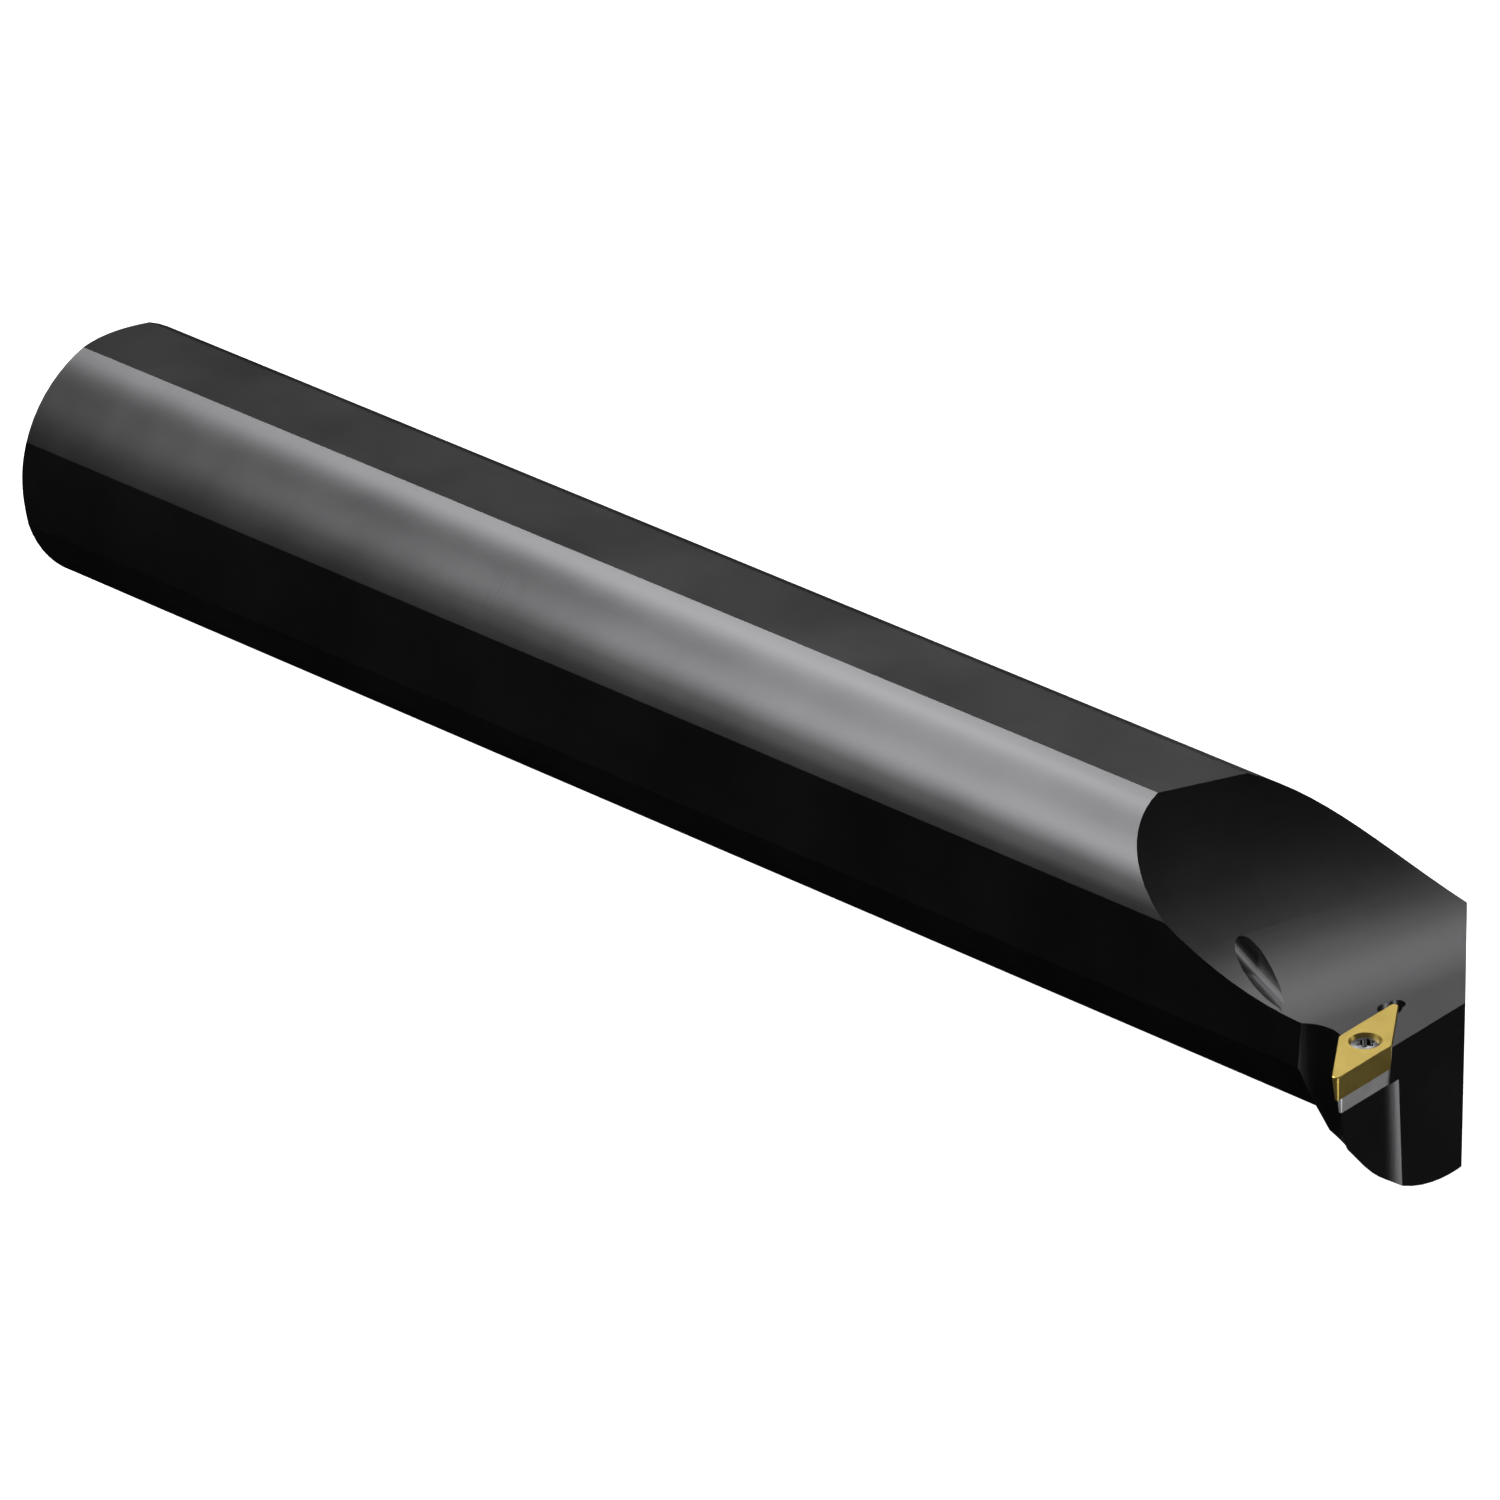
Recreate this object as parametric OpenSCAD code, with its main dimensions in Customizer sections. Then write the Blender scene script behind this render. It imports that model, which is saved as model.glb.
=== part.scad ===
// Boring bar with internal coolant and a screwed, shimmed 35 degree insert.
// X runs along the bar from its rear end to the cutting end, Y across it, Z up.
// The origin is the centre of the rear end face. The insert points to -Y.

/* [Shank] */
// Diameter of the round shank
shank_d = 50; // [40:1:60]
// Length from the rear end to the insert's nose
bar_length = 350; // [300:1:420]
// Depth of each clamping flat below the round
flat_depth = 1.5; // [0.5:0.1:3]
// Length in front of the flats that they leave round, behind the insert's nose
flat_stop = 17.6; // [16:0.2:40]
// Chamfer round the rear end
rear_chamfer = 1.6; // [0.5:0.1:4]

/* [Head] */
// Smallest bore that the head can enter
min_bore = 63; // [60:0.5:72]
// Distance from the bar's axis to the insert's nose
nose_offset = 35; // [33:0.5:42]
// Height of the insert's nose above the bar's axis
nose_height = 0.3; // [0:0.1:0.5]
// Room between the head and the smallest bore
bore_gap = 0.75; // [0.5:0.05:2]
// Length of the head's tapered round, from its shoulder to the insert's nose
head_length = 15; // [10:0.5:20]
// Taper of that round towards the shoulder, to each side of its axis
head_taper = 17; // [5:1:20]
// Angle of the head's rear shoulder to the bar's axis
shoulder_angle = 45; // [30:1:60]
// Height of the shoulder's cone, which starts inside the shank
shoulder_height = 10; // [8:0.5:12]
// Angle between the far cut and the across direction
far_cut_angle = 42; // [30:1:60]
// Where the far cut starts on the front face, across from the axis
far_cut_start = 0.3; // [-5:0.1:10]

/* [Chip pocket] */
// Radius of the pocket's sweep down to the floor
pocket_r = 77; // [50:1:120]
// Turn of the pocket's sweep about the upright
pocket_turn = 14; // [0:1:25]
// Length of the flat floor behind the insert's nose
floor_length = 18; // [10:0.5:30]
// How far the insert's top stands above the floor
insert_proud = 0.7; // [0.2:0.05:1.5]

/* [Insert] */
// Diameter of the circle that fits inside the insert
insert_ic = 9.525; // [7.94:0.005:12.7]
// Thickness of the insert
insert_t = 4.76; // [3.18:0.01:6.35]
// Acute angle of the insert
insert_angle = 35; // [35:1:55]
// Clearance angle of the insert's sides
clearance = 5; // [3:0.5:7]
// Radius of the insert's nose
nose_r = 0.8; // [0.6:0.1:1.2]
// Hole through the insert
insert_hole_d = 4.4; // [4:0.1:5]
// Mouth of the insert's screw seat
insert_sink_d = 6; // [5.7:0.1:7]
// Angle between the main cutting edge and the feed direction
approach = 93; // [91:0.5:97]
// Tilt of the seat across the bar, so that chips curl away from the bore
seat_tilt = 4; // [0:0.5:8]

/* [Shim] */
// Thickness of the shim
shim_t = 3.18; // [2:0.01:4]
// How far the shim's top edge stands back from the insert's lower edge
shim_step = 0.2; // [0.1:0.05:0.5]
// Corner radius of the shim
shim_corner_r = 0.6; // [0.5:0.05:1]

/* [Screws] */
// Diameter of the insert screw's thread
screw_d = 3.5; // [3:0.5:3.5]
// Length of the insert screw's thread below its head
screw_l = 9.5; // [8:0.5:11]
// Depth of the screw head's rim below the insert's top
head_drop = 0.7; // [0.4:0.05:1]
// Rise of the rounded screw head above its rim
head_rise = 0.4; // [0.2:0.05:0.6]
// Included angle of both screw seats
sink_angle = 60; // [50:1:90]
// Outer diameter of the tubular shim screw's thread
sleeve_d = 5; // [5:0.1:5.4]
// Head diameter of the tubular shim screw
sleeve_head_d = 6.2; // [5.9:0.1:6.6]
// Length of the tubular shim screw
sleeve_l = 10.5; // [9:0.5:14]
// Width of the hexagon socket in the shim screw, across its flats
hex_af = 3.5; // [3.2:0.1:3.8]
// Depth of the hexagon socket
hex_depth = 2.5; // [1.5:0.1:4]
// Depth of the six-lobed socket in the insert screw
lobe_depth = 1.6; // [0.8:0.1:2]

/* [Nose relief] */
// How far the wall under the main cutting edge stands back from it
nose_relief = 1.4; // [1:0.1:2]
// How far the wall under the trailing edge stands back from it
side_setback = 1.3; // [1:0.1:2]
// How far the front face stands back from the main cutting edge
front_setback = 0.35; // [0.2:0.05:0.8]
// Cutter radius that leaves the step beside the front wall
step_r = 6; // [3:0.5:8]
// Where the step's curve starts, measured from the nose
step_start = 12.6; // [10:0.1:14]
// Cutter radius that ends the wall under the trailing edge in a hollow
hollow_r = 8; // [5:0.5:12]
// Where the hollow's curve starts, measured from the nose
hollow_start = 11.7; // [9:0.1:14]
// Radius of the small relief at the seat's inner corner
corner_relief_r = 1.5; // [0.8:0.1:1.8]
// Distance of the small relief from that corner
corner_relief_back = 0.7; // [0:0.1:1.5]
// Radius of the larger relief beside it
side_relief_r = 2.2; // [1.2:0.1:2.5]
// Distance of the larger relief from that corner
side_relief_back = 2.8; // [2:0.1:6]
// Depth of both reliefs below the seat
relief_depth = 0.5; // [0.2:0.1:2]

/* [Coolant] */
// Drilled radius of the threaded inlet
inlet_r = 5.9; // [5:0.1:8]
// Depth of the threaded inlet
inlet_l = 16; // [10:1:30]
// Chamfer at the inlet's mouth
inlet_chamfer = 1; // [0.5:0.1:2]
// Diameter of the long coolant bore
coolant_d = 10; // [6:0.5:11]
// Diameter of the bore that leaves in the chip pocket
jet_d = 5.2; // [3:0.1:6]
// Angle of that bore to the bar's axis, seen from above
jet_turn = 25; // [20:1:35]
// Height at which its jet passes over the insert
jet_height = 3.5; // [3:0.1:5]
// Where its jet crosses the main cutting edge, measured from the nose
jet_aim = 0.6; // [0:0.1:3]

/* [Hidden] */
$fn = 96;
far = 200;          // longer than any cut that has to pass right through
past = 1;           // how far a cut reaches past the face that it opens
eps = 0.01;         // overlap that joins two solids of one piece
fit_gap = 0.03;     // room between pieces that are pressed together
thread_gap = 0.05;  // radial room in each screwed joint
hull_fn = 32;       // facets of the rounded corners

steel_black = [0.10, 0.10, 0.11];
carbide_grey = [0.45, 0.45, 0.46];
coated_gold = [0.80, 0.66, 0.32];
screw_dark = [0.20, 0.20, 0.22];

shank_r = shank_d / 2;
flat_z = shank_r - flat_depth;
flat_l = past + bar_length - flat_stop;
lead = approach - 90;
half_acute = insert_angle / 2;
half_obtuse = 90 - half_acute;

// Head: its round is concentric with the smallest bore, not with the shank, and it
// tapers from the nose back to the shoulder
head_r = min_bore / 2 - bore_gap;
head_shift = nose_offset - min_bore / 2;
shoulder_r = head_r - head_length * tan(head_taper);
head_x = bar_length - head_length;
shoulder_l = shoulder_height / tan(shoulder_angle);

// Centre of the insert's nose radius, on the insert's top
nose_x = bar_length - nose_r;
nose_y = -(nose_offset - nose_r);

// Insert: sharp corners in the seat's frame, from the nose round the front
edge_l = insert_ic / sin(insert_angle);
front_dir = [0, 1];
side_dir = [-sin(insert_angle), cos(insert_angle)];
to_centre = (front_dir + side_dir) / norm(front_dir + side_dir);
sharp_nose = -to_centre * nose_r / sin(half_acute);
corners = [
    sharp_nose,
    sharp_nose + edge_l * front_dir,
    sharp_nose + edge_l * (front_dir + side_dir),
    sharp_nose + edge_l * side_dir
];
insert_centre = (corners[0] + corners[2]) / 2;
seat_z = -(insert_t + shim_t);

// Depth of a cone that narrows from one diameter to another
function cone_l(d1, d2, angle) = (d1 - d2) / 2 / tan(angle / 2);

// Coolant: the jet bore starts where its axis meets the bar's axis in plan, and ends
// above the floor's rear end, where it is already open
drill_point = 118;
jet_y = nose_y + jet_aim;
jet_x = nose_x + jet_y / tan(jet_turn);
jet_l = -jet_y / sin(jet_turn) - floor_length;

// Walls under the insert, in the seat frames that run along its two edges
front_wall_x = nose_r - nose_relief;
side_wall_x = side_setback - nose_r;
step_rise = 0.2;      // the cutter that leaves the step reaches past the seat

// Where the far cut meets the front face
far_cut_x = nose_x + (nose_r - front_setback - (far_cut_start - nose_y) * sin(lead)) / cos(lead);

// Screws, along their common axis
hole_runout = 2;      // drilled past the end of the tubular screw
shim_hole_gap = 0.1;  // room round that screw in the shim
sleeve_drop = 0.2;    // its head lies this far below the shim's top
sleeve_z = -insert_t - sleeve_drop;
sleeve_cone_l = cone_l(sleeve_head_d, sleeve_d, sink_angle);
insert_cone_l = cone_l(insert_sink_d, insert_hole_d, sink_angle);
screw_head_d = insert_sink_d - 2 * head_drop * tan(sink_angle / 2) - 2 * fit_gap;
dome_r = (pow(screw_head_d / 2, 2) + pow(head_rise, 2)) / 2 / head_rise;
screw_cone_l = cone_l(screw_head_d, screw_d - 2 * thread_gap, sink_angle);
shim_inset = insert_t * tan(clearance) + shim_step;
lobe_ring_r = 1.2;    // ring on which the driver socket's lobes lie
lobe_r = 0.45;

// Centre of a corner's round, for an outline set in from the insert's edges
function round_centre(i, inset, r) =
    let (inward = insert_centre - corners[i])
    let (half = i % 2 == 0 ? half_acute : half_obtuse)
    corners[i] + inward / norm(inward) * (inset + r) / sin(half);

// Frame of the seat: origin at the nose centre, Z square to the insert's top
module seat_frame(turn = 0) {
    translate([nose_x, nose_y, nose_height])
        rotate([seat_tilt, 0, 0])
            rotate([0, 0, turn])
                children();
}

// The same frame, turned so that Y runs along the insert's front edge
module insert_frame() {
    seat_frame(lead) children();
}

// Puts its children on the axis that both screws share
module screw_axis() {
    insert_frame()
        translate([insert_centre.x, insert_centre.y, 0])
            children();
}

// Rhombic plate with clearance on all sides, from z = 0 downwards
module rhombic_plate(h, inset, r) {
    lost = h * tan(clearance);
    hull()
        for (i = [0:3])
            translate([round_centre(i, inset, r).x, round_centre(i, inset, r).y, -h])
                cylinder(h = h, r1 = r - lost, r2 = r, $fn = hull_fn);
}

// Room on one side of a wall that leans with the insert's clearance: side 1 keeps
// what lies beyond x in the turned seat frame, and side -1 what lies before it
module beside_wall(turn, x, side) {
    seat_frame(turn)
        translate([x, 0, 0])
            rotate([0, -side * clearance, 0])
                translate([side > 0 ? 0 : -far, -far, -far])
                    cube([far, 2 * far, 2 * far]);
}

// Bar: turned shank
module shank() {
    rotate([0, 90, 0])
        rotate_extrude()
            polygon([
                [0, 0],
                [shank_r - rear_chamfer, 0],
                [shank_r, rear_chamfer],
                [shank_r, bar_length],
                [0, bar_length]
            ]);
}

// Clamping flats above, below and on the insert's side
module flats() {
    translate([-past, -far, flat_z])
        cube([flat_l, 2 * far, far]);
    translate([-past, -far, -flat_z - far])
        cube([flat_l, 2 * far, far]);
    translate([-past, -flat_z - far, -far])
        cube([flat_l, far, 2 * far]);
}

// Eccentric head with its conical shoulder
module head_round() {
    translate([head_x - shoulder_l, -head_shift, 0])
        rotate([0, 90, 0])
            rotate_extrude()
                polygon([
                    [0, 0],
                    [shoulder_r - shoulder_height, 0],
                    [shoulder_r, shoulder_l],
                    [head_r, shoulder_l + head_length],
                    [0, shoulder_l + head_length]
                ]);
}

// Everything above the floor, and the long sweep that leads down to it
module chip_pocket() {
    seat_frame(-pocket_turn) {
        translate([-floor_length, 0, pocket_r - insert_proud])
            rotate([90, 0, 0])
                cylinder(h = far, r = pocket_r, center = true);
        translate([-floor_length, -far / 2, -insert_proud])
            cube([far, far, far]);
    }
}

// Room for the insert and the shim, down to the seat
module seat_pocket() {
    intersection() {
        beside_wall(lead, nose_r - insert_ic - fit_gap, 1);
        beside_wall(lead + insert_angle, insert_ic - nose_r + fit_gap, -1);
        seat_frame()
            translate([-far / 2, -far / 2, seat_z])
                cube([far, far, far]);
    }
}

// Cutter marks that keep the seat's inner corner clear
module seat_reliefs() {
    h = relief_depth - seat_z;
    insert_frame()
        translate([corners[2].x, corners[2].y, seat_z - relief_depth]) {
            translate([0, -corner_relief_back, 0])
                cylinder(h = h, r = corner_relief_r);
            translate([0, -side_relief_back, 0])
                cylinder(h = h, r = side_relief_r);
        }
}

// Wall under the main cutting edge, with the step that the cutter leaves
module front_relief() {
    insert_frame()
        translate([0, 0, seat_z + step_rise - far])
            linear_extrude(far) {
                translate([front_wall_x, step_start - far])
                    square([far, far]);
                translate([front_wall_x + step_r, step_start])
                    circle(r = step_r);
            }
}

// Wall under the trailing edge, with the hollow that ends it
module side_relief() {
    seat_frame(lead + insert_angle)
        translate([0, 0, -far / 2])
            linear_extrude(far) {
                translate([side_wall_x - far, hollow_start - far])
                    square([far, far]);
                translate([side_wall_x - hollow_r, hollow_start])
                    circle(r = hollow_r);
            }
}

// Front face, parallel to the main cutting edge
module front_cut() {
    insert_frame()
        translate([nose_r - front_setback, -far, -far])
            cube([far, 2 * far, 2 * far]);
}

// Flat that takes the far corner off the head
module far_cut() {
    translate([far_cut_x, far_cut_start, -far])
        rotate([0, 0, far_cut_angle])
            translate([0, -far, 0])
                cube([far, 2 * far, 2 * far]);
}

// Coolant: threaded inlet, long bore and the bore that leaves in the pocket
module coolant_bores() {
    rotate([0, 90, 0]) {
        translate([0, 0, -inlet_chamfer])
            cylinder(h = 2 * inlet_chamfer, r1 = inlet_r + 2 * inlet_chamfer, r2 = inlet_r);
        cylinder(h = inlet_l, r = inlet_r);
        cylinder(h = jet_x, d = coolant_d);
        translate([0, 0, jet_x])
            cylinder(h = coolant_d / 2 / tan(drill_point / 2), d1 = coolant_d, d2 = 0);
    }
    translate([jet_x, 0, jet_height])
        rotate([0, 0, -jet_turn])
            rotate([0, 90, 0])
                cylinder(h = jet_l, d = jet_d);
}

module bar() {
    color(steel_black)
        difference() {
            union() {
                shank();
                head_round();
            }
            flats();
            chip_pocket();
            seat_pocket();
            seat_reliefs();
            front_relief();
            side_relief();
            front_cut();
            far_cut();
            coolant_bores();
            screw_axis()
                translate([0, 0, sleeve_z - sleeve_l - hole_runout])
                    cylinder(h = sleeve_l + hole_runout, r = sleeve_d / 2);
        }
}

// Shim that carries the insert, with a seat for the tubular screw's head
module shim() {
    color(carbide_grey)
        difference() {
            insert_frame()
                translate([0, 0, -insert_t])
                    rhombic_plate(shim_t, shim_inset, shim_corner_r);
            screw_axis() {
                translate([0, 0, seat_z - past])
                    cylinder(h = shim_t + 2 * past, r = sleeve_d / 2 + shim_hole_gap);
                translate([0, 0, sleeve_z - sleeve_cone_l])
                    cylinder(h = sleeve_cone_l, d1 = sleeve_d, d2 = sleeve_head_d + 2 * fit_gap);
                translate([0, 0, sleeve_z - eps])
                    cylinder(h = sleeve_drop + past, d = sleeve_head_d + 2 * fit_gap);
            }
        }
}

// Tubular screw: it holds the shim down and takes the insert's screw
module shim_screw() {
    color(screw_dark)
        screw_axis()
            difference() {
                union() {
                    translate([0, 0, sleeve_z - sleeve_cone_l])
                        cylinder(h = sleeve_cone_l, d1 = sleeve_d - 2 * thread_gap, d2 = sleeve_head_d);
                    translate([0, 0, sleeve_z - sleeve_l])
                        cylinder(h = sleeve_l - sleeve_cone_l + eps, r = sleeve_d / 2 - thread_gap);
                }
                translate([0, 0, sleeve_z - sleeve_l - past])
                    cylinder(h = sleeve_l + 2 * past, r = screw_d / 2);
                translate([0, 0, sleeve_z - hex_depth])
                    cylinder(h = hex_depth + past, d = hex_af / cos(30), $fn = 6);
            }
}

// Insert: rhombic, with clearance on all sides and a seat for its screw
module insert() {
    color(coated_gold)
        difference() {
            insert_frame()
                rhombic_plate(insert_t, 0, nose_r);
            screw_axis() {
                translate([0, 0, -insert_t - past])
                    cylinder(h = insert_t + 2 * past, d = insert_hole_d);
                translate([0, 0, -insert_cone_l])
                    cylinder(h = insert_cone_l, d1 = insert_hole_d, d2 = insert_sink_d);
                translate([0, 0, -eps])
                    cylinder(h = past, d = insert_sink_d);
            }
        }
}

// Rounded top of the insert screw's head
module screw_dome() {
    intersection() {
        translate([0, 0, head_rise - head_drop - dome_r])
            sphere(r = dome_r);
        translate([0, 0, -head_drop - eps])
            cylinder(h = head_rise + past, d = screw_head_d);
    }
}

// Six-lobed driver socket
module lobed_socket() {
    cylinder(h = lobe_depth + past, r = lobe_ring_r);
    for (a = [0:60:300])
        rotate([0, 0, a])
            translate([lobe_ring_r, 0, 0])
                cylinder(h = lobe_depth + past, r = lobe_r, $fn = 24);
}

module insert_screw() {
    color(screw_dark)
        screw_axis()
            difference() {
                union() {
                    translate([0, 0, -head_drop - screw_cone_l])
                        cylinder(h = screw_cone_l, d1 = screw_d - 2 * thread_gap, d2 = screw_head_d);
                    translate([0, 0, -head_drop - screw_cone_l - screw_l])
                        cylinder(h = screw_l + eps, d = screw_d - 2 * thread_gap);
                    screw_dome();
                }
                translate([0, 0, head_rise - head_drop - lobe_depth])
                    lobed_socket();
            }
}

bar();
shim();
shim_screw();
insert();
insert_screw();
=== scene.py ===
# Looks of an internal boring bar with flats, coolant bores and a screwed insert
import math

import bmesh
import bpy
from bpy.props import FloatProperty, FloatVectorProperty, PointerProperty
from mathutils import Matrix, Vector


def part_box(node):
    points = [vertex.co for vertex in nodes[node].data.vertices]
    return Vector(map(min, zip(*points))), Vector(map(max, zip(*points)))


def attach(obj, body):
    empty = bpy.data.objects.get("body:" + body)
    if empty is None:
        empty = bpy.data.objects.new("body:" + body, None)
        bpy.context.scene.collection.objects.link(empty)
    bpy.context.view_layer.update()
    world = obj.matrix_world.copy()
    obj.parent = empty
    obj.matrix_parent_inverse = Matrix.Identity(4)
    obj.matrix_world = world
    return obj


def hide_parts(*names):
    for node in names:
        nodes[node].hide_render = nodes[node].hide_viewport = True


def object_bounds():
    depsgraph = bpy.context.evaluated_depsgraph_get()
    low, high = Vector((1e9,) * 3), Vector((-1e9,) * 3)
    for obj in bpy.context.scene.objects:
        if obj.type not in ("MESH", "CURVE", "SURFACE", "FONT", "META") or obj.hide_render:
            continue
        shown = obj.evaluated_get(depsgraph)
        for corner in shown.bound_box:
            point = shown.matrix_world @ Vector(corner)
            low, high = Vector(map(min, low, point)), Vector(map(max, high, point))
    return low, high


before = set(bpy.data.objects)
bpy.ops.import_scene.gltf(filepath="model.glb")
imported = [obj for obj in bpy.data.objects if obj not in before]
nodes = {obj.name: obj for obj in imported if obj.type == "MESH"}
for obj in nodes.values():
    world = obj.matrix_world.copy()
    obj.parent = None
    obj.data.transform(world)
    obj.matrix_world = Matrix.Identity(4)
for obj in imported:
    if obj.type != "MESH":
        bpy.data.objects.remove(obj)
cad_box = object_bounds()

bl_info = {
    "name": "Internal boring bar",
    "version": (1, 0, 0),
    "blender": (4, 5, 0),
    "location": "3D View > Sidebar > Boring bar",
    "description": "Finishes the packed boring bar and lights it in a small studio",
    "category": "Object",
}

MM = 0.001
CLOSE = 0.05 * MM               # a point this near to a surface counts as lying on it

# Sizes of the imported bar, by which its faces and edges are found
FLAT = 23.5 * MM                # from the axis to each clamping flat
BORE_REACH = 7.5 * MM           # the inlet and the long coolant bore lie inside this
POCKET_START = 290 * MM         # the chip pocket lies beyond this
POCKET_TURN = math.radians(14)  # the pocket's cutter ran across the bar at this angle
HEAD_START = 322 * MM           # beyond this come the upright walls of the head
SEAT_TILT = math.radians(4)
INLET_R = 5.9 * MM              # drilled wall of the coolant inlet
INLET_L = 16 * MM
INLET_MOUTH = 6.9 * MM          # where the inlet's chamfer meets the rear face
HOLE_REACH = 4 * MM             # the rim of the insert's hole lies inside this
SOCKET_R = 1.68 * MM            # reach of the screw's six-lobed socket
SOCKET_DOME = 1.2 * MM          # the dome round the socket lies above this depth
SOCKET_FLOOR = 2 * MM           # just below the socket's floor
RIM_LEVEL = 0.01 * MM           # the rims of the insert's top lie this near to its height
RIM_ANGLE = 20                  # and turn by more than this many degrees
SHARP = 40                      # an edge that turns by more degrees is broken
SHORT = 1.2 * MM                # but not on the bar where it is shorter than this

# A face's normal, as the part of it that lies along an axis
SQUARE = 0.999                  # at least, where the face is square to the axis
LEVEL = 0.6                     # at least, upwards, on the floor of the pocket
STEEP = 0.2                     # at most, upwards, on a wall of the head
SOCKET_STEEP = 0.5              # at most, along the screw, on a wall of its socket

# How a CAD node's loose triangles are joined
WELD = 0.001 * MM
COPLANAR = math.radians(0.5)

# Sizes that only the visual model has
HOLE_BREAK = 0.12 * MM          # broken edge of the insert's hole
SCREW_BREAK = 0.05 * MM         # broken edges of the screws
SLIVER = 0.016 * MM             # points nearer than this are merged after a bevel
SPECK = 0.002 * MM              # and thinner faces than this are dissolved
OPENED_R = 6.64 * MM            # the inlet's wall is opened to this for the thread piece
THREAD_R = 6.15 * MM            # middle of the pipe thread's depth
THREAD_HALF = 0.428 * MM        # half of that depth
THREAD_CUT = 1.35               # the zigzag overshoots by this and is cut flat
THREAD_START = 0.03 * MM        # the thread piece begins just inside the rear face
THREAD_END = INLET_L - 0.05 * MM
THREAD_STEPS = 64               # steps in one turn
THREAD_ROWS = 96                # steps along the thread
# The plain back of the thread piece lies just inside the bar's wall. From its far end to
# its mouth, this is its distance along the bar and its radius.
SLEEVE = [
    (THREAD_END, 6.62 * MM),
    (1 * MM, 6.62 * MM),
    (0.05 * MM, 6.88 * MM),
    (THREAD_START, INLET_MOUTH - THREAD_START),
]

# The studio, in metres and watts
BAR_MIDDLE = (0.18, 0, 0)
FLOOR_SIZE = 12
FLOOR_GAP = 0.2 * MM            # the floor lies this far below the bar
KEY_PLACE = (-0.65, 0.085, 1.13)
KEY_SIZE = 0.15
# Name, place, aim, size, power and whether it casts shadows. The key light and the low
# light cast none, so that they reach the floor of the bores and of the socket.
LIGHTS = [
    ("Side light", (-0.068, -0.362, 0.381), BAR_MIDDLE, 0.12, 2.8, True),
    ("Rear light", (-0.54, 0.988, 1.474), BAR_MIDDLE, 0.2, 7.3, True),
    ("Low light", (1.22, -0.19, -0.43), (0.34, -0.02, -0.01), 0.2, 4.7, False),
    ("Head light", (0.078, -0.092, 0.237), (0.27, -0.015, 0.02), 0.05, 0.24, True),
    ("Back light", (1.55, 1.49, 0.57), BAR_MIDDLE, 0.6, 3.5, True),
    ("Far side light", (0.24, 0.3, -0.09), (0.24, 0, -0.01), 0.2, 1.6, True),
    ("Rear face light", (-1.65, 0.17, -0.34), (0, 0, 0), 0.6, 6, True),
]
CAMERA_TURN = math.radians(45)
CAMERA_RISE = math.radians(25)
CAMERA_AIM = Vector((182.666, -11.202, 0)) * MM
CAMERA_AWAY = 2582.389 * MM
SENSOR = 36                     # width in millimetres


# Colours and finishes
def linear(code):
    """Turns an sRGB hex code into Blender's linear colour."""
    channels = [int(code[i:i + 2], 16) / 255 for i in (1, 3, 5)]
    return [c / 12.92 if c <= 0.04045 else ((c + 0.055) / 1.055) ** 2.4 for c in channels]


def add_node(material, kind, settings=None, values=None, links=None):
    """Adds a node, sets its settings and input values, and links its inputs."""
    tree = material.node_tree
    node = tree.nodes.new(kind)
    for name, value in (settings or {}).items():
        setattr(node, name, value)
    for name, value in (values or {}).items():
        node.inputs[name].default_value = value
    for name, output in (links or {}).items():
        tree.links.new(output, node.inputs[name])
    return node


def new_material(name):
    """Makes an empty node material."""
    material = bpy.data.materials.new(name)
    material.use_nodes = True
    material.node_tree.nodes.clear()
    return material


def set_surface(material, values, links=None):
    """Gives a material its shader and its output, and returns it."""
    shader = add_node(material, "ShaderNodeBsdfPrincipled", values=values, links=links)
    add_node(material, "ShaderNodeOutputMaterial", links={"Surface": shader.outputs["BSDF"]})
    return material


def from_axis(material, place):
    """Distance of a place from the bar's axis, as a vector whose X holds it."""
    across = add_node(
        material, "ShaderNodeVectorMath", {"operation": "MULTIPLY"}, {1: (0, 1, 1)},
        {0: place},
    )
    distance = add_node(
        material, "ShaderNodeVectorMath", {"operation": "LENGTH"},
        links={0: across.outputs["Vector"]},
    )
    return add_node(
        material, "ShaderNodeCombineXYZ", links={"X": distance.outputs["Value"]}
    ).outputs["Vector"]


def grains(material, place, size, detail, turn=(0, 0, 0)):
    """Pattern of grains of this size in millimetres along each turned axis."""
    turned = add_node(
        material, "ShaderNodeMapping", values={"Rotation": turn}, links={"Vector": place}
    )
    scaled = add_node(
        material, "ShaderNodeMapping",
        values={"Scale": [1 / (s * MM) for s in size]},
        links={"Vector": turned.outputs["Vector"]},
    )
    return add_node(
        material, "ShaderNodeTexNoise",
        values={"Scale": 1, "Detail": detail, "Roughness": 0.55},
        links={"Vector": scaled.outputs["Vector"]},
    ).outputs["Fac"]


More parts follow.
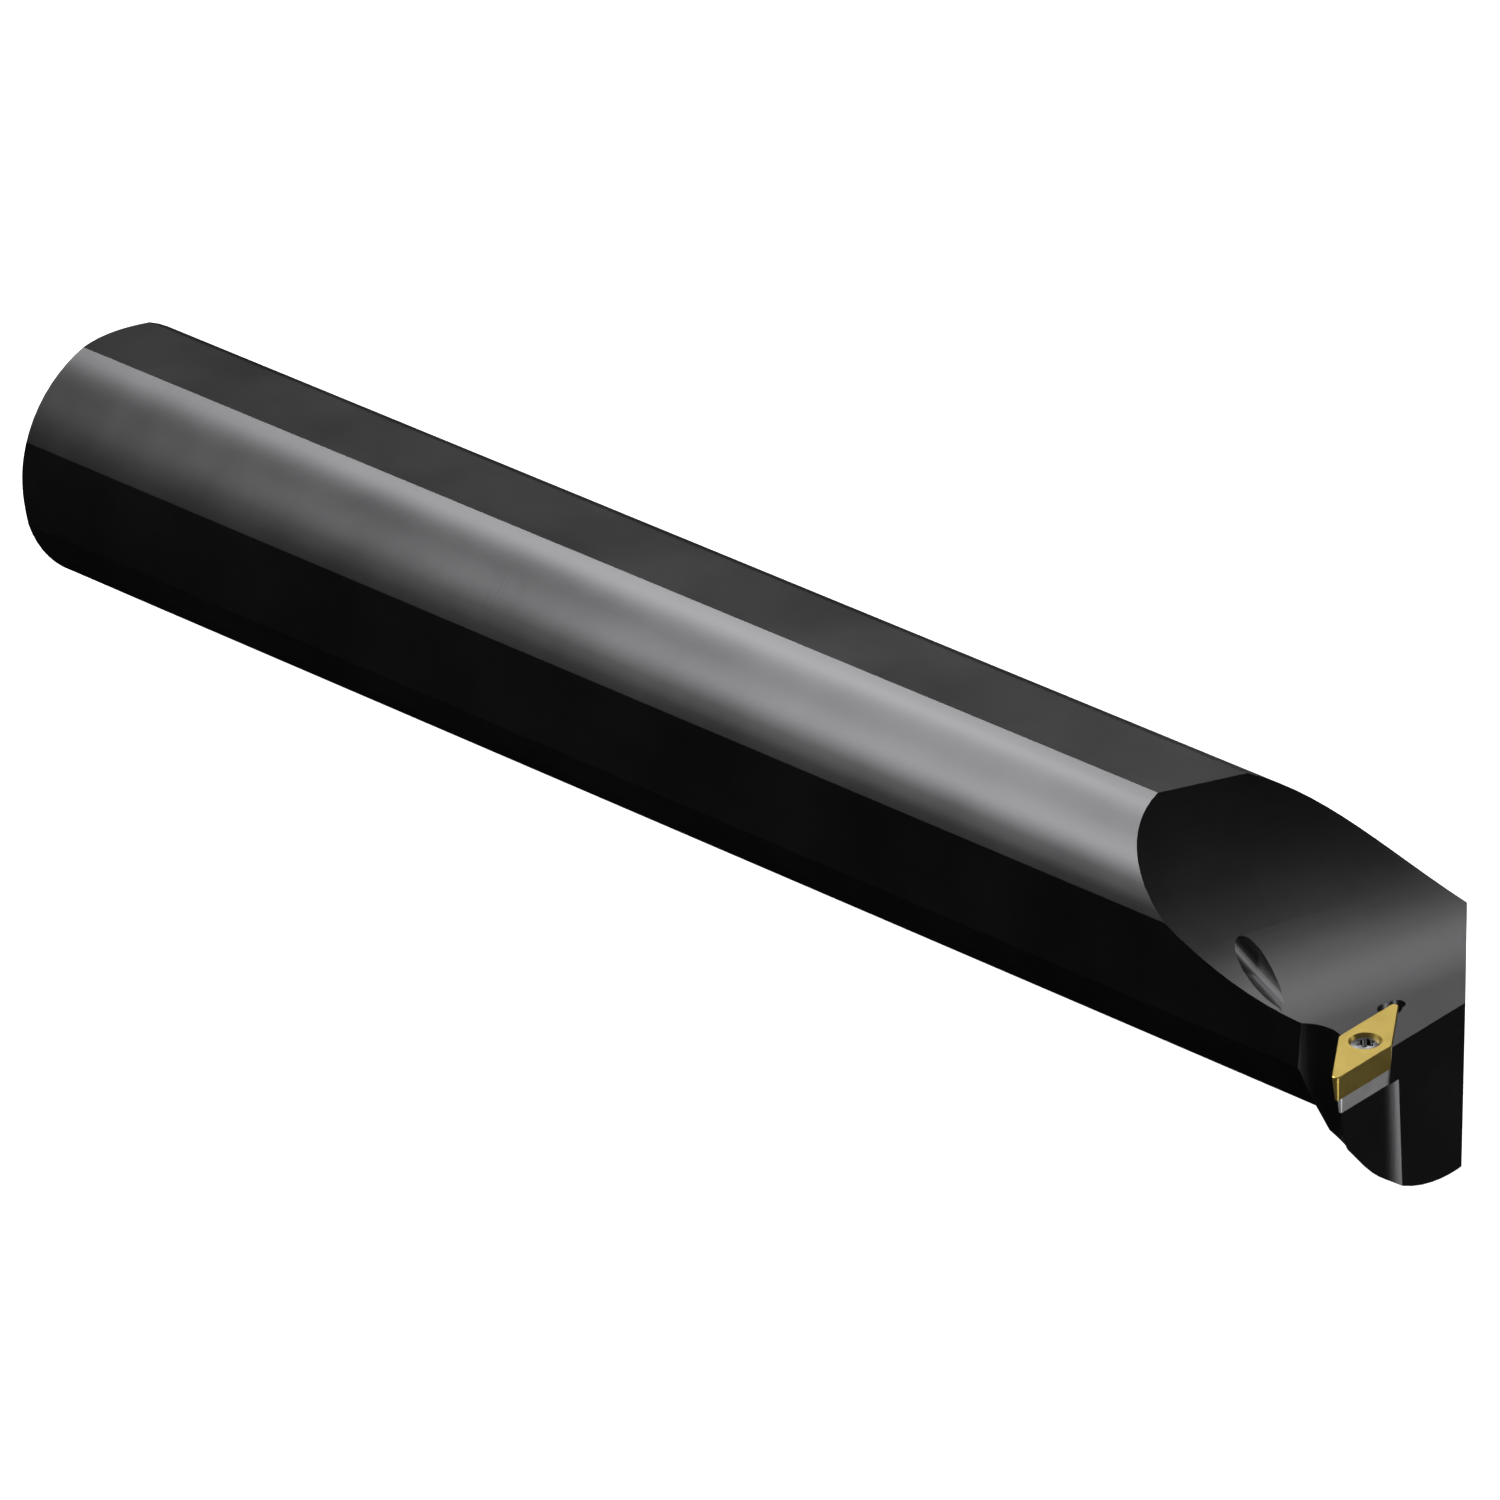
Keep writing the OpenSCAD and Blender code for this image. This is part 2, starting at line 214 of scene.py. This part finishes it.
def metal(name, metallic, tones, rough, clouds, marks):
    """Makes a metal that drifts between two tones and two roughnesses in soft clouds,
    which have a size in millimetres and a detail. Its marks are pressed in by bump. Each
    has the size of its grains along each axis and its depth, both in millimetres, its
    strength, and where it needs them a turn, a detail or rings round the bar's axis."""
    material = new_material(name)
    place = add_node(material, "ShaderNodeTexCoord").outputs["Object"]
    drift = grains(material, place, [clouds[0]] * 3, clouds[1])
    # The pattern seldom leaves the middle of its range, so that middle is spread
    colour = add_node(material, "ShaderNodeValToRGB", links={"Fac": drift})
    for stop, share, tone in zip(colour.color_ramp.elements, (0.3, 0.7), tones):
        stop.position = share
        stop.color = [*tone, 1]
    gloss = add_node(
        material, "ShaderNodeMapRange",
        values={"From Min": 0.25, "From Max": 0.75, "To Min": rough[0], "To Max": rough[1]},
        links={"Value": drift},
    )
    links = {"Base Color": colour.outputs["Color"], "Roughness": gloss.outputs["Result"]}
    below = {}
    for mark in marks:
        height = grains(
            material, from_axis(material, place) if mark.get("rings") else place,
            mark["size"], mark.get("detail", 2), mark.get("turn", (0, 0, 0)),
        )
        pressed = add_node(
            material, "ShaderNodeBump",
            values={"Strength": mark["strength"], "Distance": mark["depth"] * MM},
            links={"Height": height, **below},
        )
        below = {"Normal": pressed.outputs["Normal"]}
    return set_surface(material, {"Metallic": metallic}, {**links, **below})


def black_oxide(name, cut, turn=(0, 0, 0), rings=False, film=("#3E3E3F", "#464647")):
    """Steel with a black oxide finish: a thin dark film that keeps the marks of the
    cutter, so it shines softly along them and goes nearly black away from the light.
    The marks are 0.1 to 0.3 mm apart on the real bar, and two or three times as coarse
    here, so that they show. The grain of the film is coarser than the real one too."""
    return metal(
        name, metallic=1, tones=[linear(tone) for tone in film], rough=(0.42, 0.46),
        clouds=(24, 4), marks=[
            {"size": cut, "depth": 0.016, "strength": 0.6, "turn": turn, "rings": rings},
            {"size": (0.35, 0.35, 0.35), "depth": 0.004, "strength": 0.3},
        ],
    )


def coated_carbide(name, tones):
    """Cemented carbide with a gold nitride coating: an even metallic gold with the grain
    of the sintered surface under it, which is far finer on the real one and is drawn as
    coarse as it needs to show."""
    return metal(
        name, metallic=0.92, tones=tones, rough=(0.34, 0.4), clouds=(3, 3), marks=[
            {"size": (0.12, 0.12, 0.12), "depth": 0.003, "strength": 0.4, "detail": 3},
        ],
    )


def ground_carbide(name):
    """Uncoated cemented carbide, ground: a mid grey with fine straight scratches, a few
    times as far apart as real ones, so that they show."""
    return metal(
        name, metallic=0.76, tones=[linear("#939394"), linear("#9D9D9E")],
        rough=(0.42, 0.5), clouds=(4, 3), marks=[
            {"size": (6, 6, 0.12), "depth": 0.004, "strength": 0.4,
             "turn": (SEAT_TILT, 0, 0)},
        ],
    )


def oiled_steel(name, dark, light, rough):
    """Hardened screw steel under a film of oil: dark grey, with a clear soft shine where
    it faces the light. Its grain is drawn as coarse as it needs to show."""
    return metal(
        name, metallic=1, tones=[linear(dark), linear(light)], rough=(rough, rough + 0.06),
        clouds=(1.5, 3), marks=[
            {"size": (0.1, 0.1, 0.1), "depth": 0.003, "strength": 0.3},
        ],
    )


# Picking and shaping pieces
def pick(piece=None):
    """Goes to object mode and leaves only this piece selected and active, or nothing."""
    if bpy.context.object and bpy.context.object.mode != "OBJECT":
        bpy.ops.object.mode_set(mode="OBJECT")
    bpy.ops.object.select_all(action="DESELECT")
    if piece:
        piece.select_set(True)
        bpy.context.view_layer.objects.active = piece


def copy_node(node, name):
    """Copies a CAD node into a new piece and merges its loose triangles."""
    pick(nodes[node])
    bpy.ops.object.duplicate()
    piece = bpy.context.object
    piece.name = name
    piece.data.name = name
    for key in [k for k in piece.keys() if k.startswith("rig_")]:
        del piece[key]
    bpy.ops.object.mode_set(mode="EDIT")
    bpy.ops.mesh.select_all(action="SELECT")
    bpy.ops.mesh.remove_doubles(threshold=WELD)
    bpy.ops.mesh.customdata_custom_splitnormals_clear()
    bpy.ops.mesh.dissolve_limited(angle_limit=COPLANAR)
    bpy.ops.mesh.select_all(action="DESELECT")
    bpy.ops.object.mode_set(mode="OBJECT")
    return piece


def select_parts(piece, kind, test):
    """Enters edit mode and selects the vertices or the edges that pass a test."""
    pick(piece)
    bpy.ops.object.mode_set(mode="EDIT")
    bpy.ops.mesh.select_mode(type=kind)
    bpy.ops.mesh.select_all(action="DESELECT")
    shape = bmesh.from_edit_mesh(piece.data)
    found = [part for part in (shape.verts if kind == "VERT" else shape.edges) if test(part)]
    if not found:
        raise RuntimeError("a place to be shaped wasn't found on " + piece.name)
    for part in found:
        part.select_set(True)
    bmesh.update_edit_mesh(piece.data)


def break_edges(piece, test, width):
    """Bevels the edges that pass a test, and clears the slivers that this leaves."""
    select_parts(piece, "EDGE", test)
    bpy.ops.mesh.bevel(
        offset=width, segments=2, profile=0.5, affect="EDGES", clamp_overlap=True,
    )
    bpy.ops.mesh.select_all(action="SELECT")
    bpy.ops.mesh.remove_doubles(threshold=SLIVER)
    bpy.ops.mesh.dissolve_degenerate(threshold=SPECK)
    bpy.ops.mesh.select_all(action="DESELECT")
    bpy.ops.object.mode_set(mode="OBJECT")


def steepness(edge):
    """Angle in degrees between an edge's two faces, and 0 where it hasn't two."""
    return math.degrees(edge.calc_face_angle(0))


def off_axis(point, centre, axis):
    """Distance of a point from an axis through a centre."""
    return (point - centre).cross(axis).length


def seat_up():
    """Direction square to the insert's top."""
    return Vector((0, -math.sin(SEAT_TILT), math.cos(SEAT_TILT)))


def hole_centre():
    """Point on the tilted screw's axis. The head is the widest part of the screw, so the
    middle of its packed box lies on the axis at the height of the head."""
    low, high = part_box("insert_screw")
    return Vector(((low[0] + high[0]) / 2, (low[1] + high[1]) / 2, high[2]))


def paint(piece, materials, choose=lambda centre, normal: 0):
    """Gives each face the material that choose returns for its centre and normal."""
    piece.data.materials.clear()
    for material in materials:
        piece.data.materials.append(material)
    for face in piece.data.polygons:
        face.material_index = choose(face.center, face.normal)


def finish_piece(piece, node, smooth=12):
    """Smooths a finished piece and lets it stand for its CAD node, if it has one."""
    pick(piece)
    bpy.ops.object.shade_smooth_by_angle(angle=math.radians(smooth))
    even = piece.modifiers.new("Even shading", "WEIGHTED_NORMAL")
    even.keep_sharp = True
    bpy.ops.object.modifier_apply(modifier=even.name)
    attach(piece, "root")
    if node:
        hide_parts(node)


# Sizes and colours that a user would change
class BoringBarLook(bpy.types.PropertyGroup):
    """Colours and fine sizes of the bar and its insert"""
    coating_dark: FloatVectorProperty(
        name="Coating, dark", description="Darker tone of the insert's gold coating",
        default=linear("#A58F48"), subtype="COLOR", size=3, min=0, max=1,
    )
    coating_light: FloatVectorProperty(
        name="Coating, light", description="Lighter tone of the insert's gold coating",
        default=linear("#AD974F"), subtype="COLOR", size=3, min=0, max=1,
    )
    edge_break: FloatProperty(
        name="Edge break", description="Width of the broken edges of the bar",
        default=0.15 * MM, min=0.02 * MM, max=0.5 * MM, precision=5,
        subtype="DISTANCE", unit="LENGTH",
    )
    hone: FloatProperty(
        name="Hone", description="Width of the insert's honed cutting edge",
        default=0.16 * MM, min=0.02 * MM, max=0.3 * MM, precision=5,
        subtype="DISTANCE", unit="LENGTH",
    )
    thread_pitch: FloatProperty(
        name="Inlet thread pitch", description="Pitch of the coolant inlet's pipe thread",
        default=1.337 * MM, min=0.8 * MM, max=2.5 * MM, precision=6,
        subtype="DISTANCE", unit="LENGTH",
    )


class BoringBarStudio(bpy.types.PropertyGroup):
    """Light and camera of the studio"""
    key_power: FloatProperty(
        name="Key light", description="Power of the light that draws the streak on the round",
        default=13.0, min=0, max=100, unit="POWER",
    )
    lens: FloatProperty(
        name="Lens", description="Focal length of the camera in millimetres on a 36 mm sensor",
        default=341.30, min=50, max=600, unit="CAMERA",
    )


# The five materials of the bar, one for each way that the real one was cut
TURNED, FACED, FLATS, POCKET, WALLS = range(5)


def how_cut(centre, normal):
    """Tells how the real bar was cut at a face."""
    if math.hypot(centre.y, centre.z) < BORE_REACH:
        return TURNED
    if normal.x < -SQUARE and centre.x < CLOSE:
        return FACED
    if abs(normal.z) > SQUARE and abs(abs(centre.z) - FLAT) < CLOSE:
        return FLATS
    if normal.y < -SQUARE and abs(centre.y + FLAT) < CLOSE:
        return FLATS
    if normal.z > LEVEL and centre.x > POCKET_START and centre.z < FLAT - 2 * CLOSE:
        return POCKET
    if centre.x > HEAD_START and abs(normal.z) < STEEP:
        return WALLS
    return TURNED


class BORINGBAR_OT_bar(bpy.types.Operator):
    """Finishes the turned and milled steel body"""
    bl_idname = "boring_bar.bar"
    bl_label = "Bar"

    def execute(self, context):
        piece = copy_node("bar", "bar_body")
        select_parts(piece, "VERT", lambda v: (
            v.co.x < INLET_L + 2 * CLOSE and abs(math.hypot(v.co.y, v.co.z) - INLET_R) < CLOSE
        ))
        open_up = OPENED_R / INLET_R
        bpy.ops.transform.resize(value=(1, open_up, open_up), center_override=(0, 0, 0))
        pick(piece)
        # In the order of the numbers that how_cut gives
        paint(piece, [
            black_oxide("Black oxide steel, turned", (0.45, 60, 60)),
            black_oxide("Black oxide steel, faced", (0.4, 60, 60), rings=True),
            black_oxide("Black oxide steel, flats milled", (60, 0.6, 0.6),
                        film=("#3B3B3C", "#434344")),
            black_oxide("Black oxide steel, pocket milled", (0.7, 60, 60),
                        (0, 0, POCKET_TURN)),
            black_oxide("Black oxide steel, walls milled", (0.5, 0.5, 60), (SEAT_TILT, 0, 0)),
        ], how_cut)
        break_edges(
            piece, lambda e: steepness(e) > SHARP and e.calc_length() > SHORT,
            context.scene.boring_bar_look.edge_break,
        )
        finish_piece(piece, "bar")
        return {"FINISHED"}


class BORINGBAR_OT_inlet(bpy.types.Operator):
    """Cuts the pipe thread of the coolant inlet"""
    bl_idname = "boring_bar.inlet"
    bl_label = "Inlet thread"

    def execute(self, context):
        pitch = context.scene.boring_bar_look.thread_pitch
        rows = THREAD_ROWS + len(SLEEVE)
        pick()
        bpy.ops.mesh.primitive_grid_add(
            x_subdivisions=THREAD_STEPS, y_subdivisions=rows, size=1,
        )
        piece = context.object
        piece.name = "inlet_thread"
        piece.data.name = "inlet_thread"
        for vertex in piece.data.vertices:
            turn = vertex.co.x + 0.5
            row = round((vertex.co.y + 0.5) * rows)
            if row > THREAD_ROWS:
                along, radius = SLEEVE[row - THREAD_ROWS - 1]
            else:
                along = THREAD_START + row / THREAD_ROWS * (THREAD_END - THREAD_START)
                phase = along / pitch + turn
                zigzag = 4 * abs(phase - math.floor(phase + 0.5)) - 1
                radius = THREAD_R + THREAD_HALF * max(-1, min(1, THREAD_CUT * zigzag))
                radius = max(radius, INLET_MOUTH - along)
            angle = 2 * math.pi * turn
            vertex.co = (along, radius * math.cos(angle), radius * math.sin(angle))
        bpy.ops.object.mode_set(mode="EDIT")
        bpy.ops.mesh.select_all(action="SELECT")
        bpy.ops.mesh.remove_doubles(threshold=SPECK)
        bpy.ops.mesh.normals_make_consistent(inside=False)
        bpy.ops.object.mode_set(mode="OBJECT")
        paint(piece, [black_oxide("Black oxide steel, threaded", (0.3, 0.3, 0.3))])
        finish_piece(piece, None, smooth=35)
        return {"FINISHED"}


class BORINGBAR_OT_shim(bpy.types.Operator):
    """Finishes the carbide shim under the insert"""
    bl_idname = "boring_bar.shim"
    bl_label = "Shim"

    def execute(self, context):
        piece = copy_node("shim", "carbide_shim")
        paint(piece, [ground_carbide("Ground carbide")])
        finish_piece(piece, "shim")
        return {"FINISHED"}


class BORINGBAR_OT_screws(bpy.types.Operator):
    """Finishes the insert's screw and the tubular screw under it"""
    bl_idname = "boring_bar.screws"
    bl_label = "Screws"

    def execute(self, context):
        steel = oiled_steel("Oiled screw steel", "#6A6A6C", "#747476", 0.34)
        # Darker copy of the screw steel for the socket: painted shade in its recess
        socket = oiled_steel("Oiled screw steel, socket with painted shade", "#333334", "#3B3B3C", 0.4)
        centre, up = hole_centre(), seat_up()
        screws = {"insert_screw": "insert_screw_head", "shim_screw": "tubular_screw"}
        for node, name in screws.items():
            piece = copy_node(node, name)
            top = max(v.co.dot(up) for v in piece.data.vertices)

            def socket_painted_shade(place, normal):
                """Gives 1 on the walls and the floor of the six-lobed socket, which get the
                darker steel as painted shade in the recess, else 0.
                """
                depth = top - place.dot(up)
                inside = off_axis(place, centre, up) < SOCKET_R and depth < SOCKET_FLOOR
                wall = abs(normal.dot(up)) < SOCKET_STEEP
                return int(inside and (wall or depth > SOCKET_DOME))

            break_edges(piece, lambda e: steepness(e) > SHARP, SCREW_BREAK)
            paint(piece, [steel, socket], socket_painted_shade)
            finish_piece(piece, node)
        return {"FINISHED"}


class BORINGBAR_OT_insert(bpy.types.Operator):
    """Finishes the coated insert"""
    bl_idname = "boring_bar.insert"
    bl_label = "Insert"

    def execute(self, context):
        look = context.scene.boring_bar_look
        piece = copy_node("insert", "coated_insert")
        up, hole = seat_up(), hole_centre()
        top = max(v.co.dot(up) for v in piece.data.vertices)

        def on_top(edge, near, far):
            """Tells whether an edge bounds the top face at this range from the hole's axis."""
            place = (edge.verts[0].co + edge.verts[1].co) / 2
            on_rim = place.dot(up) > top - RIM_LEVEL and steepness(edge) > RIM_ANGLE
            return on_rim and near < off_axis(place, hole, up) < far

        break_edges(piece, lambda e: on_top(e, HOLE_REACH, math.inf), look.hone)
        break_edges(piece, lambda e: on_top(e, 0, HOLE_REACH), HOLE_BREAK)
        tones = [look.coating_dark, look.coating_light]
        paint(piece, [coated_carbide("Gold coated carbide", tones)])
        finish_piece(piece, "insert")
        return {"FINISHED"}


def add_light(name, place, aim, size, power, shadows):
    """Adds a square soft light at a place, turned towards the point that it is aimed at."""
    bpy.ops.object.light_add(type="AREA", location=place)
    light = bpy.context.object
    light.name = name
    away = Vector(place) - Vector(aim)
    light.rotation_euler = away.to_track_quat("Z", "Y").to_euler()
    light.data.shape = "SQUARE"
    light.data.size = size
    light.data.energy = power
    light.data.use_shadow = shadows
    light.visible_camera = False


class BORINGBAR_OT_stage(bpy.types.Operator):
    """Sets up the floor, the lights and the camera"""
    bl_idname = "boring_bar.stage"
    bl_label = "Stage"

    def execute(self, context):
        studio = context.scene.boring_bar_studio
        pick()
        bpy.ops.mesh.primitive_plane_add(
            size=FLOOR_SIZE, location=(BAR_MIDDLE[0], 0, cad_box[0].z - FLOOR_GAP),
        )
        floor = context.object
        floor.name = "studio_floor"
        # Matt studio paper, lit from below so that it stays white in every view
        floor.data.materials.append(set_surface(new_material("Pale studio paper"), {
            "Base Color": [*linear("#A0A0A0"), 1], "Roughness": 0.9,
            "Emission Color": (1, 1, 1, 1), "Emission Strength": 0.85,
        }))
        floor.visible_glossy = False
        floor.visible_shadow = False

        add_light("Key light", KEY_PLACE, BAR_MIDDLE, KEY_SIZE, studio.key_power, False)
        for light in LIGHTS:
            add_light(*light)

        world = bpy.data.worlds.new("White studio")
        context.scene.world = world
        world.use_nodes = True
        background = world.node_tree.nodes["Background"]
        background.inputs["Color"].default_value = (1, 1, 1, 1)
        background.inputs["Strength"].default_value = 1
        world.cycles_visibility.glossy = False

        back = Vector((
            math.sin(CAMERA_TURN) * math.cos(CAMERA_RISE),
            -math.cos(CAMERA_TURN) * math.cos(CAMERA_RISE),
            math.sin(CAMERA_RISE),
        ))
        bpy.ops.object.camera_add(location=CAMERA_AIM + back * CAMERA_AWAY)
        camera = context.object
        camera.name = "Camera"
        camera.rotation_euler = back.to_track_quat("Z", "Y").to_euler()
        camera.data.sensor_width = SENSOR
        camera.data.lens = studio.lens
        camera.data.clip_start = 0.1
        camera.data.clip_end = 50
        context.scene.camera = camera
        context.scene.view_settings.view_transform = "Standard"
        return {"FINISHED"}


class BORINGBAR_PT_sidebar(bpy.types.Panel):
    """Lists the pieces and the stage"""
    bl_idname = "BORINGBAR_PT_sidebar"
    bl_label = "Boring bar"
    bl_space_type = "VIEW_3D"
    bl_region_type = "UI"
    bl_category = "Boring bar"

    def draw(self, context):
        for step in STEPS:
            self.layout.operator(step.bl_idname)


STEPS = [
    BORINGBAR_OT_bar,
    BORINGBAR_OT_inlet,
    BORINGBAR_OT_shim,
    BORINGBAR_OT_screws,
    BORINGBAR_OT_insert,
    BORINGBAR_OT_stage,
]
CLASSES = [BoringBarLook, BoringBarStudio, *STEPS, BORINGBAR_PT_sidebar]


def register():
    for kind in CLASSES:
        bpy.utils.register_class(kind)
    bpy.types.Scene.boring_bar_look = PointerProperty(type=BoringBarLook)
    bpy.types.Scene.boring_bar_studio = PointerProperty(type=BoringBarStudio)


def unregister():
    del bpy.types.Scene.boring_bar_studio
    del bpy.types.Scene.boring_bar_look
    for kind in reversed(CLASSES):
        bpy.utils.unregister_class(kind)


def main():
    register()
    bpy.ops.boring_bar.bar()
    bpy.ops.boring_bar.inlet()
    bpy.ops.boring_bar.shim()
    bpy.ops.boring_bar.screws()
    bpy.ops.boring_bar.insert()
    bpy.ops.boring_bar.stage()


if __name__ == "__main__":
    main()
